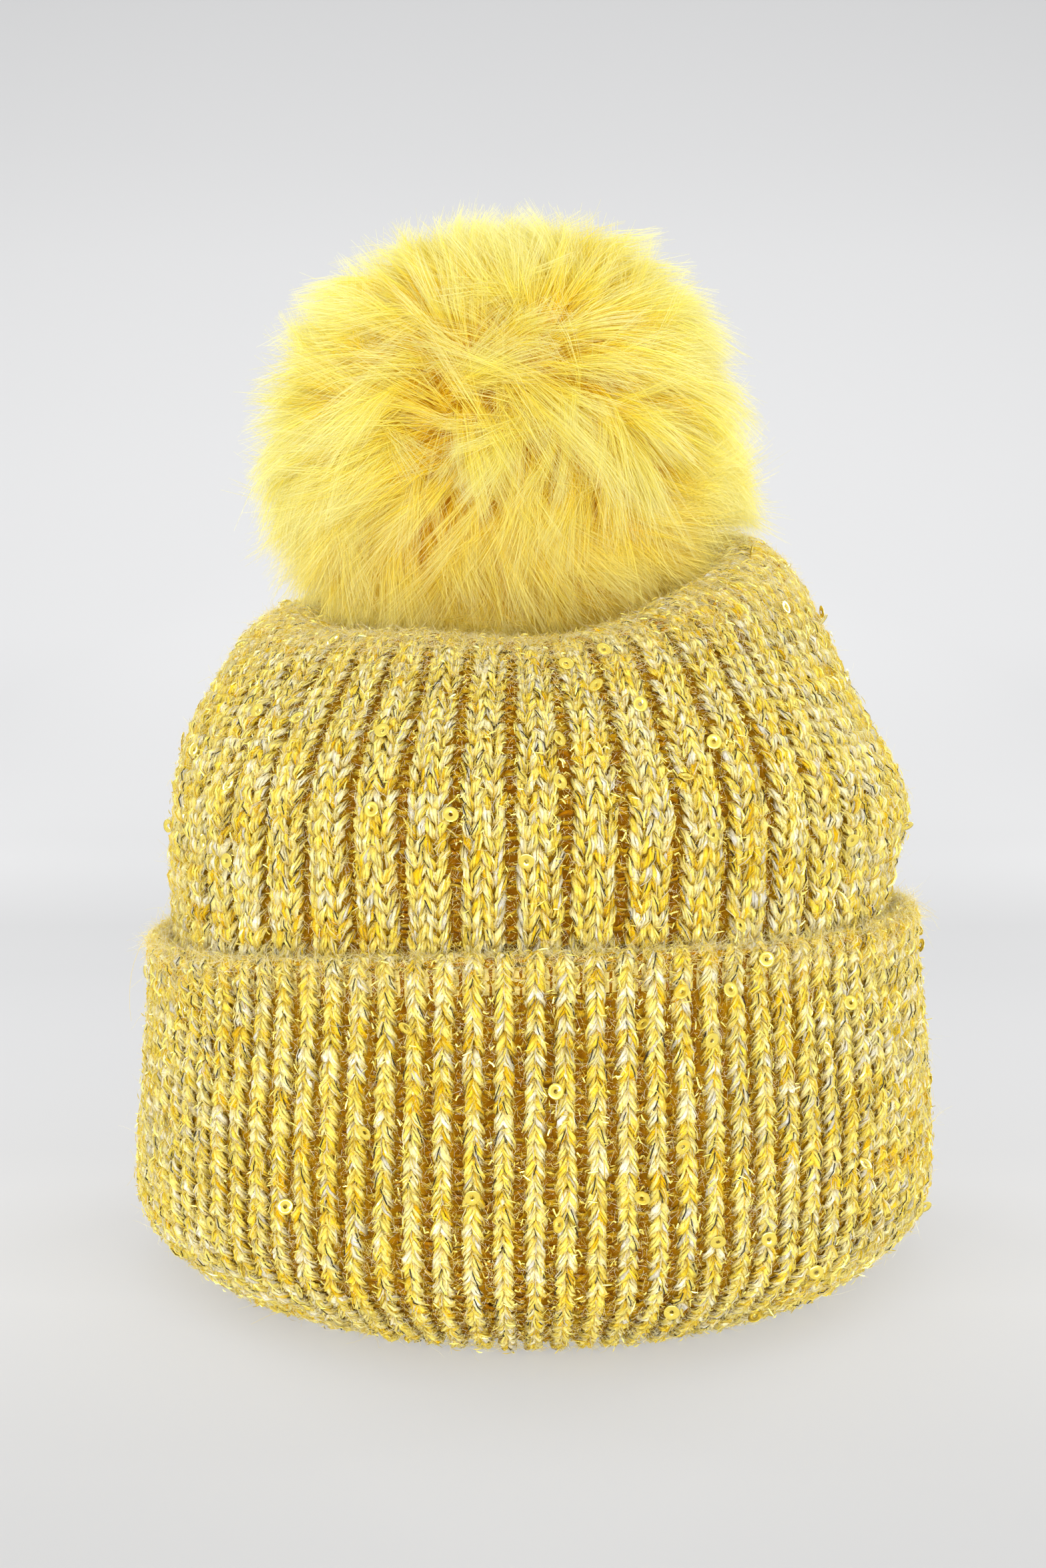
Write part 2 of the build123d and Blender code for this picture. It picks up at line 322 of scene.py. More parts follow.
_cuff_s = along(CUFF_LINE)
_cuff_f = spline(_cuff_s, CUFF_LINE)
CUFF_LEN = _cuff_s[-1]


def cuff_at(a, s):
    q = _cuff_f(s)
    r, z = q[..., 0], q[..., 1]
    high = np.clip(z / 84, 0, 1)
    r = r * squarish(a, 1.88 + 0.2 * np.clip(z / 45, 0, 1)) + (0.8 * np.sin(3 * a + 0.7) + 0.5 * np.sin(5 * a + 2.6)) * high + 0.9 * np.cos(a) * np.sin(np.pi * high)
    z = z * (1 + high * (0.04 * np.cos(a) - 0.02 * np.cos(a) ** 2 + 0.008 * np.sin(4 * a + 1.9)))
    return np.stack([r * np.cos(a), r * OVAL * np.sin(a), z], axis=-1)


class Surf:
    """A surface sampled on a grid of angle and length, for fast lookups of place and outward normal."""

    def __init__(self, at, length, na=960, ds=0.6):
        self.na, self.ns, self.length = na, int(length / ds) + 1, length
        a = np.arange(na) * TAU / na
        s = np.linspace(0, length, self.ns)
        self.p = at(a[:, None] + 0 * s[None], s[None] + 0 * a[:, None])
        da = np.roll(self.p, -1, 0) - np.roll(self.p, 1, 0)
        dsv = np.gradient(self.p, axis=1)
        self.rho = np.linalg.norm(da, axis=-1) / (2 * TAU / na)
        n = unit(np.cross(da, dsv))
        self.n = n

    def at(self, a, s):
        ai = (np.asarray(a) % TAU) / TAU * self.na
        si = np.clip(np.asarray(s) / self.length * (self.ns - 1), 0, self.ns - 1.001)
        i, j = ai.astype(int), si.astype(int)
        fa, fs = (ai - i)[..., None], (si - j)[..., None]
        i, i1 = i % self.na, (i + 1) % self.na

        def g(x):
            return (x[i, j] * (1 - fa) + x[i1, j] * fa) * (1 - fs) + (x[i, j + 1] * (1 - fa) + x[i1, j + 1] * fa) * fs

        return g(self.p), unit(g(self.n)), g(self.rho[..., None])[..., 0]


crown = Surf(crown_at, CROWN_LEN)
cuff = Surf(cuff_at, CUFF_LEN)
if (crown.n[:, 20] * crown.p[:, 20])[..., :2].sum() < 0:
    crown.n *= -1
if (cuff.n[:, cuff.ns // 3] * cuff.p[:, cuff.ns // 3])[..., :2].sum() < 0:
    cuff.n *= -1

# ------------------------------------------------------------------ yarn colours
CREAM, PALE, GOLD, AMBER, GREY, DARK = (lin(*c) for c in (
    (247, 243, 222), (247, 238, 168), (243, 218, 88), (228, 184, 34), (214, 210, 198), (52, 46, 40)))
PALETTE = np.array([CREAM, PALE, GOLD, AMBER, GREY, DARK])
RAMP_AT = np.array([0.0, 0.22, 0.45, 0.68, 0.88, 1.0])
RAMP = np.array([lin(*c) for c in ((242, 237, 216), (243, 234, 180), (243, 229, 136), (240, 218, 88), (234, 202, 44), (218, 174, 16))])


def ramp(u):
    u = np.clip(u, 0, 1)
    return np.stack([np.interp(u, RAMP_AT, RAMP[:, k]) for k in range(3)], -1)


def paint_tuck_shade(colour, up):
    """Painted shade: yarn is darkened to a deep golden brown where it goes behind its neighbours; up runs from 0 there
    to 1 on top.
    """
    low = np.array([0.46, 0.29, 0.01])
    return colour * (low + (1 - low) * up[..., None] ** np.array([1.0, 1.15, 1.8]))


def pick(u, weights):
    """Palette colours for uniform numbers u."""
    w = np.cumsum(weights) / np.sum(weights)
    return PALETTE[np.clip(np.searchsorted(w, u), 0, len(PALETTE) - 1)]


def rank(x):
    """Turns noise into evenly spread numbers from 0 to 1."""
    r = np.empty(x.size)
    r[np.argsort(x.ravel())] = (np.arange(x.size) + 0.5) / x.size
    return r.reshape(x.shape)


# ------------------------------------------------------------------ ribbed knit
PLIES = 4


def knit(surf, rng, ribs, phase, columns, s0, s1, course, layout, flip, hump, valley, sectors, name, body, relief, pts=5, strokes=9000):
    """Builds loops of plied yarn on a surface. columns are the column centres in parts of a rib's pitch; layout is (inner, outer) reach of a leg from its column centre."""
    pitch = TAU / ribs
    rows = int((s1 - s0) / course)
    ncol = ribs * len(columns)
    # one entry per leg: row, column, side
    row, col, side = np.meshgrid(np.arange(rows), np.arange(ncol), np.array([-1.0, 1.0]), indexing="ij")
    row, col, side = row.ravel(), col.ravel(), side.ravel()
    seq = (col * 2 + (side > 0)).astype(int)
    rib, cc = col // len(columns), np.array(columns)[col % len(columns)]
    n = len(row)
    t = np.linspace(0, 1, pts)[None]
    ease = t * t * (3 - 2 * t)
    reach = layout[0] + (layout[1] - layout[0]) * (0.35 * t + 0.65 * ease)
    x = cc[:, None] + side[:, None] * reach + rng.normal(0, 0.020, (n, 1)) + rng.normal(0, 0.014, (n, pts))
    yy = (t * 1.7 - 0.35) if not flip else (1.35 - t * 1.7)
    y = s0 + (row[:, None] + yy + rng.normal(0, 0.05, (n, 1))) * course
    rib_wob = (np.sin(row * 0.35 + rib * 1.7) * 0.018)[:, None]
    a = phase + (rib[:, None] + 0.5 + x + rib_wob) * pitch
    p, nn, rho = surf.at(a, y)
    size = np.clip(rho * pitch / layout[2], 0.25, 1.08)
    leg_size = size
    h = hump(x) * size * relief(y) + (np.sin(np.pi * np.clip(t, 0, 1)) ** 0.8 - 1) * 1.15 * size + rng.normal(0, 0.2, (n, 1))
    c = p + nn * (h - 0.85 * size)[..., None]
    rad = (0.5 + 0.5 * np.sin(np.pi * t) ** 0.6) * size
    tan = tangents(c)
    bi = unit(np.cross(tan, nn))
    up = np.cross(bi, tan)
    patch = rank(smooth_noise(rng, (rows, ncol * 2), 1.6) + 0.7 * smooth_noise(rng, (rows, ncol * 2), 6.0))[row, seq]
    tone = 1 + 0.05 * smooth_noise(rng, (rows, ncol * 2), 3.0)[row, seq]
    sector = (rib * sectors // ribs)
    out = [Joined() for _ in range(sectors)]
    spin = rng.uniform(0, TAU, n)
    top = np.broadcast_to(np.sin(np.pi * t) ** 0.6, (n, pts))
    for ply in range(PLIES):
        own = rng.normal(0, 0.20, (n, 1))
        u = 0.62 * patch[:, None] + 0.17 + own + rng.normal(0, 0.09, (n, pts))
        colour = ramp(u)
        nep = rng.random(n) < 0.05
        colour[nep] = GREY
        # painted shade: each leg is darkened to a deep golden brown where it dips behind its neighbours
        colour = paint_tuck_shade(colour, top**1.4) * tone[:, None, None] * (1 + 0.05 * rng.normal(size=(n, pts, 1)))
        pr = rng.uniform(0.36, 0.58, (n, 1)) * np.clip(1 + 0.24 * rng.normal(size=(n, pts)), 0.4, 1.5)
        off = 0.56 + 0.06 * rng.normal(size=(n, 1))
        ang = ply * TAU / PLIES + spin[:, None] + t * 4.2 * side[:, None] * (-1 if flip else 1)
        q = c + (np.cos(ang)[..., None] * bi + np.sin(ang)[..., None] * up) * (off * rad)[..., None]
        for k in range(sectors):
            m = sector == k
            v, f = tubes(q[m], nn[m], (pr * rad)[m], 3, phase=spin[m] + ply)
            out[k].add(v, f, np.repeat(colour[m][:, :, None], 3, 2).reshape(-1, 3))
    made = []
    for k, j in enumerate(out):
        made.append(j.make(f"{name}_{k:02d}", M_YARN))
    # glittering thread carried with the yarn
    lure = Joined()
    m = rng.random(n) < 0.62
    ang = 1.0 + 0.9 * rng.normal(size=(m.sum(), 1)) + t * 1.6 * side[m][:, None]
    q = c[m] + (np.cos(ang)[..., None] * bi[m] + np.sin(ang)[..., None] * up[m]) * (1.08 * rad[m])[..., None]
    v, f = ribbons(q, rng.normal(size=(m.sum(), 3)), np.full((m.sum(), pts), 0.42) * size[m])
    lure.add(v, f, np.ones((len(v), 3)))
    # dark flecks: short bits of fibre lying on the yarn
    m = rng.random(n) < 0.20
    q = c[m][:, 1:4] + (np.cos(spin[m])[:, None, None] * bi[m][:, 1:4] + np.abs(np.sin(spin[m]))[:, None, None] * up[m][:, 1:4]) * (1.0 * rad[m][:, 1:4])[..., None]
    fl = Joined()
    v, f = tubes(q, nn[m][:, 1:4], np.full((m.sum(), 3), 0.14) * size[m][:, 1:4], 3)
    dark = lin(48, 44, 40)
    fl.add(v, f, np.tile(dark, (len(v), 1)))
    # purl side of the ribs: bars across the valleys
    vr, vb = np.meshgrid(np.arange(rows), np.arange(ribs), indexing="ij")
    vr, vb = vr.ravel(), vb.ravel()
    for step in (0.0, 0.5):
        tt = np.linspace(-1, 1, 4)[None]
        xv = valley[0] * tt
        a = phase + (vb[:, None] + 1.0 + xv) * pitch
        y = s0 + (vr[:, None] + step + rng.normal(0, 0.09, (len(vr), 1)) + 0.12 * tt * rng.normal(size=(len(vr), 1)) + 0.18 * (1 - tt**2) * (1 if step else -1)) * course
        p, nv, rho = surf.at(a, y)
        size = np.clip(rho * pitch / layout[2], 0.25, 1.08)
        hv = (valley[1] - 0.9 * np.abs(tt) ** 2) * relief(y) + rng.normal(0, 0.28, (len(vr), 1))
        q = p + nv * (hv * size)[..., None]
        # painted shade: the purl bars sit in the valleys and are darkened to a deep golden brown
        cv = paint_tuck_shade(ramp(rng.uniform(0.4, 1.1, len(vr))), rng.uniform(0.0, 0.3, len(vr)))
        v, f = tubes(q + rng.normal(0, 0.16, q.shape), nv, (0.66 - 0.16 * tt**2) * size * rng.uniform(0.7, 1.2, (len(vr), 1)), 3)
        fl.add(v, f, np.repeat(cv, 4 * 3, 0))
        m = rng.random(len(vr)) < 0.55
        x0 = rng.uniform(-0.9, 0.5, (m.sum(), 1)) * valley[0]
        xv = x0 + np.linspace(0, 0.7, 4)[None] * valley[0]
        p, nv, rho = surf.at(phase + (vb[m][:, None] + 1.0 + xv) * pitch, y[m] + rng.normal(0, 0.25, (m.sum(), 4)))
        v, f = ribbons(p + nv * (valley[1] * relief(y[m]) + rng.uniform(0.3, 1.6, (m.sum(), 1)))[..., None], rng.normal(size=(m.sum(), 3)), np.full((m.sum(), 4), 0.3))
        lure.add(v, f, np.ones((len(v), 3)))
    # loose glints that stand out between the loops, many of them at the edges of the ribs
    sa, ss = rng.uniform(0, TAU, strokes), rng.uniform(s0, s1, strokes)
    edge = rng.random(strokes) < 0.45
    sa[edge] = phase + (rng.integers(0, ribs, edge.sum()) + np.where(rng.random(edge.sum()) < 0.5, -1, 1) * (valley[0] + rng.normal(0.02, 0.03, edge.sum()))) * pitch
    p, nv, rho = surf.at(sa, ss)
    xs = ((sa - phase) / pitch) % 1.0 - 0.5
    d = unit(np.cross(nv, rng.normal(size=(strokes, 3))) + 0.35 * nv * rng.normal(size=(strokes, 1)))
    ln = rng.uniform(0.5, 1.15, (strokes, 1, 1))
    q = p[:, None] + nv[:, None] * (hump(xs) * relief(ss) + rng.uniform(0.05, 0.75, strokes))[:, None, None] + d[:, None] * ln * np.array([-1.0, 0.0, 1.0])[None, :, None]
    q[:, 1] += nv * 0.12
    q[..., 2] = np.maximum(q[..., 2], 0.2)
    v, f = ribbons(q, rng.normal(size=(strokes, 3)), np.tile([0.14, 0.27, 0.12], (strokes, 1)))
    lure.add(v, f, np.ones((len(v), 3)))
    # short wisps of brushed fibre lying on the yarn
    wis = Joined()
    for turn in range(3):
        m = rng.random(n) < 0.9
        i0 = rng.integers(0, pts - 3, m.sum())
        idx = i0[:, None] + np.arange(3)[None]
        rows_ = np.arange(m.sum())[:, None]
        ang = rng.uniform(0.1, np.pi - 0.1, (m.sum(), 1)) + np.linspace(-0.5, 0.5, 3)[None] * rng.normal(0, 1.0, (m.sum(), 1))
        cc3, b3, u3, r3 = c[m][rows_, idx], bi[m][rows_, idx], up[m][rows_, idx], rad[m][rows_, idx]
        q = cc3 + (np.cos(ang)[..., None] * b3 + np.sin(ang)[..., None] * u3) * (r3 * rng.uniform(1.02, 1.28, (m.sum(), 1)))[..., None]
        v, f = ribbons(q, rng.normal(size=(m.sum(), 3)), np.full((m.sum(), 3), 0.2) * leg_size[m][:, :3])
        wis.add(v, f, np.repeat(ramp(rng.random(m.sum()) * 1.1 - 0.1) * (0.8 + 0.25 * rng.random((m.sum(), 1))), 6, 0))
    made.append(wis.make(f"{name}_wisps", M_HAIR))
    made.append(lure.make(f"{name}_glitter", M_LUREX))
    made.append(fl.make(f"{name}_flecks", M_YARN))
    for o in made:
        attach(o, body)
    return made


def crown_hump(x):
    """Height of a wide rib across its pitch, x from -0.5 to 0.5."""
    q = np.clip(np.abs(x) / 0.385, 0, 1.25)
    return 0.35 - 1.9 * q**3 - 0.45 * np.exp(-((x / 0.045) ** 2))


def cuff_hump(x):
    q = np.clip(np.abs(x) / 0.285, 0, 1.35)
    return 0.45 - 1.2 * q**2.2


FRONT = -math.pi / 2
CROWN_PHASE = FRONT - math.radians(2.8)
CUFF_PHASE = FRONT - math.radians(1.5)

RIM_S = float(_crown_s[8]) - 1.0
crown_parts = knit(crown, np.random.default_rng(3), 48, CROWN_PHASE, (-0.182, 0.182), 2.0, CROWN_LEN - 4.0, 3.15, (0.022, 0.186, 12.1), False,
                   crown_hump, (0.16, -3.5), 16, "crown_stitches", "hat",
                   lambda y: 1 - 0.7 * np.exp(-(((y - RIM_S) / 8.0) ** 2)))
cuff_parts = knit(cuff, np.random.default_rng(5), 96, CUFF_PHASE, (0.0,), 3.0, CUFF_LEN - 6.0, 3.1, (0.03, 0.250, 6.4), False,
                  cuff_hump, (0.27, -2.9), 10, "cuff_stitches", "hat",
                  lambda y: 1 - 0.6 * np.exp(-(((y - 9.0) / 4.0) ** 2)))


# ------------------------------------------------------------------ fabric under the loops and the inside of the hat
def shell(name, surf, s0, s1, ribs, phase, dips, thick, colours, na, ns):
    """A closed skin just under the loops, with the inside face of the fabric behind it; the outer face carries painted
    shade.
    """
    a = np.arange(na) * TAU / na
    s = np.linspace(s0, s1, ns)
    A, S = np.meshgrid(a, s, indexing="ij")
    p, n, rho = surf.at(A, S)
    x = ((A - phase) / (TAU / ribs)) % 1.0 - 0.5
    size = np.clip(rho * TAU / ribs / (580.0 / ribs), 0.2, 1.1)
    wave = 0.5 + 0.5 * np.cos(x * TAU)
    outer = p + n * ((dips[0] * wave + dips[1] * (1 - wave)) * size)[..., None]
    inner = p - n * (thick(S) - 0.7 * (1 - wave) * size * np.clip(thick(S) / 4 - 0.4, 0, 1))[..., None]
    v = np.concatenate([outer.reshape(-1, 3), inner.reshape(-1, 3)])
    i = np.arange(na)[:, None] * ns
    i1 = ((np.arange(na) + 1) % na)[:, None] * ns
    j = np.arange(ns - 1)[None]
    quad = np.stack([i + j, i1 + j, i1 + j + 1, i + j + 1], -1).reshape(-1, 4)
    m = na * ns
    e0 = np.arange(na) * ns
    e1 = ((np.arange(na) + 1) % na) * ns
    rim = [np.stack([e0, e0 + m, e1 + m, e1], -1), np.stack([e0 + ns - 1, e1 + ns - 1, e1 + ns - 1 + m, e0 + ns - 1 + m], -1)]
    f = np.concatenate([quad, quad[:, ::-1] + m, *rim])
    # painted shade: the outer face is deep golden brown, darker still in the rib valleys, for the shade seen between
    # the loops; the inside face is a little darker in the valleys
    c = np.concatenate([
        (colours[0] * wave[..., None] + colours[1] * (1 - wave[..., None])).reshape(-1, 3),
        np.broadcast_to(colours[2], (m, 3)) * (0.86 + 0.14 * wave.reshape(-1, 1)),
    ])
    o = add_mesh(name, v, f, M_BACK, c)
    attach(o, "hat")
    return o


# painted shade under the loops: deep golden brown on the rib tops, darker in the valleys; the third colour is the
# inside face
SKIN_SHADE_AND_INSIDE_COLOURS = (lin(200, 150, 10), lin(132, 82, 0), lin(240, 220, 130))
crown_skin = shell("crown_fabric", crown, 0.5, CROWN_LEN - 0.5, 48, CROWN_PHASE, (-2.3, -4.2), lambda q: 5.0 + 0 * q, SKIN_SHADE_AND_INSIDE_COLOURS, 384, 66)
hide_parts("crown_side_knit", "crown_top_knit")
cuff_skin = shell("cuff_fabric", cuff, 0.5, CUFF_LEN, 96, CUFF_PHASE, (-2.1, -3.3),
                  lambda q: 3.4 + 1.2 * np.clip((q - 15) / 10, 0, 1) - 0.9 * np.clip((q - CUFF_LEN + 34) / 14, 0, 1), SKIN_SHADE_AND_INSIDE_COLOURS, 576, 56)
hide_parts("brim_turn_up", "brim_fold", "brim_rolled_edge")

# the inner layer behind the turn-up, ribbed on the side next to the head
in_line = np.array([(82.2, 14.5), (84.1, 24.0), (84.1, 40.0), (83.3, 60.0), (82.6, 74.0), (82.3, 84.0)])
in_s = along(in_line)
in_f = spline(in_s, in_line)


def inner_at(a, s):
    q = in_f(s)
    r, z = q[..., 0] * squarish(a, 1.98) * 0.995, q[..., 1]
    return np.stack([r * np.cos(a), r * OVAL * np.sin(a), z], axis=-1)


inner = Surf(inner_at, in_s[-1])
if (inner.n[:, 5] * inner.p[:, 5])[..., :2].sum() < 0:
    inner.n *= -1
na, ns = 576, 40
A, S = np.meshgrid(np.arange(na) * TAU / na, np.linspace(0, in_s[-1], ns), indexing="ij")
p, n, rho = inner.at(A, S)
w = 0.5 + 0.5 * np.cos(((A - CUFF_PHASE) / (TAU / 96)) * TAU)
bars = 0.25 * np.sin(S * TAU / 3.1)
face_in = p - n * (0.2 + 1.2 * w + bars * (1 - w))[..., None]
face_out = p + n * 3.4
v = np.concatenate([face_in.reshape(-1, 3), face_out.reshape(-1, 3)])
i, i1 = np.arange(na)[:, None] * ns, ((np.arange(na) + 1) % na)[:, None] * ns
j = np.arange(ns - 1)[None]
quad = np.stack([i + j, i + j + 1, i1 + j + 1, i1 + j], -1).reshape(-1, 4)
m = na * ns
f = np.concatenate([quad, quad[:, ::-1] + m])
# painted shade: the valleys between the ribs are darker, and the face towards the turn-up, hidden between the layers,
# is a darker golden
c = np.concatenate([(lin(226, 200, 118) * (0.55 + 0.45 * w[..., None])).reshape(-1, 3), np.tile(lin(200, 160, 70), (m, 1))])
inner_skin = add_mesh("brim_inside", v, f, M_BACK, c)
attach(inner_skin, "hat")
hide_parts("brim_inner_layer")


# ------------------------------------------------------------------ fuzz
def fuzz(name, surf, rng, count, place, length, lean, width=0.085, pts=4, lift_off=0.35):
    a, s = place(rng, count)
    p, n, rho = surf.at(a, s)
    L = rng.uniform(*length, count) * (0.5 + rng.random(count) ** 2)
    tang = unit(np.cross(n, rng.normal(size=(count, 3))))
    d = unit(n * lean + tang)
    bend = unit(np.cross(d, rng.normal(size=(count, 3))))
    t = np.linspace(0, 1, pts)[None, :, None]
    curl = rng.uniform(0.15, 0.55, (count, 1, 1))
    c = p[:, None] + n[:, None] * (lift_off - 0.7) + L[:, None, None] * (d[:, None] * t + bend[:, None] * curl * t**2 - n[:, None] * (0.25 * t**2))
    c = c + rng.normal(0, 0.12, c.shape) * t
    c[..., 2] = np.maximum(c[..., 2], 0.15)
    w = width * (1 - 0.6 * t[..., 0]) * np.ones((count, pts))
    v, f = ribbons(c, rng.normal(size=(count, 3)), w)
    tint = pick(rng.random(count), (34, 44, 22, 0, 0, 0)) * np.array([0.97, 0.95, 0.86])
    o = add_mesh(name, v, f, M_HAIR, np.repeat(tint, pts * 2, 0))
    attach(o, "hat")
    return o


def even(lo, hi):
    return lambda rng, n: (rng.uniform(0, TAU, n), rng.uniform(lo, hi, n))


def near(mid, spread):
    return lambda rng, n: (rng.uniform(0, TAU, n), np.clip(rng.normal(mid, spread, n), 1, 1e3))


FZ = np.random.default_rng(21)
fuzz("crown_fuzz", crown, FZ, 90000, even(6, CROWN_LEN - 22), (0.6, 2.0), 0.55, width=0.1, pts=2, lift_off=0.3)
fuzz("cuff_fuzz", cuff, FZ, 90000, even(6, CUFF_LEN - 16), (0.6, 2.0), 0.55, width=0.1, pts=2, lift_off=0.3)
fuzz("crown_down", crown, FZ, 36000, even(6, CROWN_LEN - 22), (1.2, 3.0), 0.5, width=0.07, pts=3)
fuzz("cuff_down", cuff, FZ, 36000, even(6, CUFF_LEN - 16), (1.2, 3.0), 0.5, width=0.07, pts=3)
fuzz("crown_hairs", crown, FZ, 6000, even(6, CROWN_LEN - 22), (3.0, 7.0), 0.6, width=0.07, pts=6)
fuzz("cuff_hairs", cuff, FZ, 6000, even(6, CUFF_LEN - 16), (3.0, 7.0), 0.6, width=0.07, pts=6)
fuzz("cuff_edge_fuzz", cuff, FZ, 18000, near(10.5, 3.6), (1.5, 5.5), 0.75, pts=3)
fuzz("crown_rim_fuzz", crown, FZ, 24000, near(RIM_S - 1.0, 7.0), (1.2, 4.0), 0.5, pts=3)
fuzz("long_strays", cuff, FZ, 60, near(10.0, 2.5), (12.0, 20.0), 0.12, width=0.09, pts=10, lift_off=1.0)


# ------------------------------------------------------------------ sequins
def sequins(name, surf, rng, count, lo, hi, node, gap=8.0):
    pts, got = [], []
    while len(got) < count:
        a, s = rng.uniform(0, TAU), rng.uniform(lo, hi)
        p, n, _ = surf.at(np.array([a]), np.array([s]))
        if all(np.linalg.norm(p[0] - q) > gap for q in pts):
            pts.append(p[0])
            got.append((p[0], n[0]))
    J = Joined()
    k = 20
    ang = np.arange(k) * TAU / k
    for p, n in got:
        tilt = unit(n + rng.normal(0, 0.42, 3))
        x = unit(np.cross(tilt, rng.normal(size=3)))
        y = np.cross(tilt, x)
        o = p + n * rng.uniform(0.55, 1.1)
        ring = np.cos(ang)[:, None] * x + np.sin(ang)[:, None] * y
        prof = [(1.65, 0.10), (1.62, 0.16), (1.15, 0.02), (0.46, 0.0), (0.42, -0.06), (1.15, -0.05), (1.62, 0.04)]
        v = np.concatenate([o + ring * r + tilt * h for r, h in prof])
        f = []
        for q in range(len(prof)):
            q1 = (q + 1) % len(prof)
            for i in range(k):
                i1 = (i + 1) % k
                f.append((q * k + i, q * k + i1, q1 * k + i1, q1 * k + i))
        J.add(v, np.array(f), np.ones((len(v), 3)))
    o = J.make(name, M_SEQUIN)
    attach(o, "hat")
    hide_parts(node)
    return o


SQ = np.random.default_rng(77)
sequins("sequins_cuff", cuff, SQ, 110, 12, CUFF_LEN - 22, "brim_sequins")
sequins("sequins_crown", crown, SQ, 90, 14, CROWN_LEN - 44, "crown_sequins")

# ------------------------------------------------------------------ pom-pom
POM_C = np.array([-6.5, -5.0, 200.0])
PELT_C = np.array([-6.0, -5.0, 198.0])


def extent(d):
    """Distance from the pom-pom's centre to the tips of its pile, by direction."""
    up = np.where(d[..., 2] > 0, 56.0, 51.0)
    n = np.where(d[..., 2] > 0, 2.0, 2.5)
    h = np.linalg.norm(d[..., :2], axis=-1)
    return ((h / 63.0) ** n + (np.abs(d[..., 2]) / up) ** n) ** (-1 / n)


def waves(rng, count, freq):
    k = rng.normal(size=(count, 3)) * freq
    ph = rng.uniform(0, TAU, count)
    am = rng.normal(size=(count, 3))

    def f(d):
        return (np.sin(d @ k.T + ph)[..., None] * am).sum(-2) / math.sqrt(count)

    return f


def fibonacci(n):
    i = np.arange(n) + 0.5
    z = 1 - 2 * i / n
    a = i * TAU * 0.61803399
    r = np.sqrt(1 - z * z)
    return np.stack([r * np.cos(a), r * np.sin(a), z], -1)


TUFTS = ((unit(np.array([0.61, -0.1, 0.79])), 0.09, 0.18), (unit(np.array([0.94, -0.1, -0.31])), 0.08, 0.11))   # where the pile sticks out
PART = unit(np.array([-0.12, -1.0, 0.16]))   # the pile parts here and lies away from it


def lay(d, flow):
    """Unit tangent that the pile leans along, at direction d."""
    away = unit(d - (d @ PART)[..., None] * PART)
    front = np.clip((d @ PART) * 0.5 + 0.7, 0.0, 1.0)[..., None]
    off = np.clip((np.arccos(np.clip(d @ PART, -1, 1)) - 0.15) / 0.9, 0, 1)[..., None]
    t = away * front * (0.35 + 0.80 * off) + np.array([0, 0, -1.0]) * (0.40 - 0.42 * np.clip(d[..., 2:3], 0, 1)) + 0.50 * flow(d)
    t = t - (t * d).sum(-1, keepdims=True) * d
    return unit(t), np.clip(np.linalg.norm(t, axis=-1, keepdims=True) / 0.6, 0.1, 1.0)


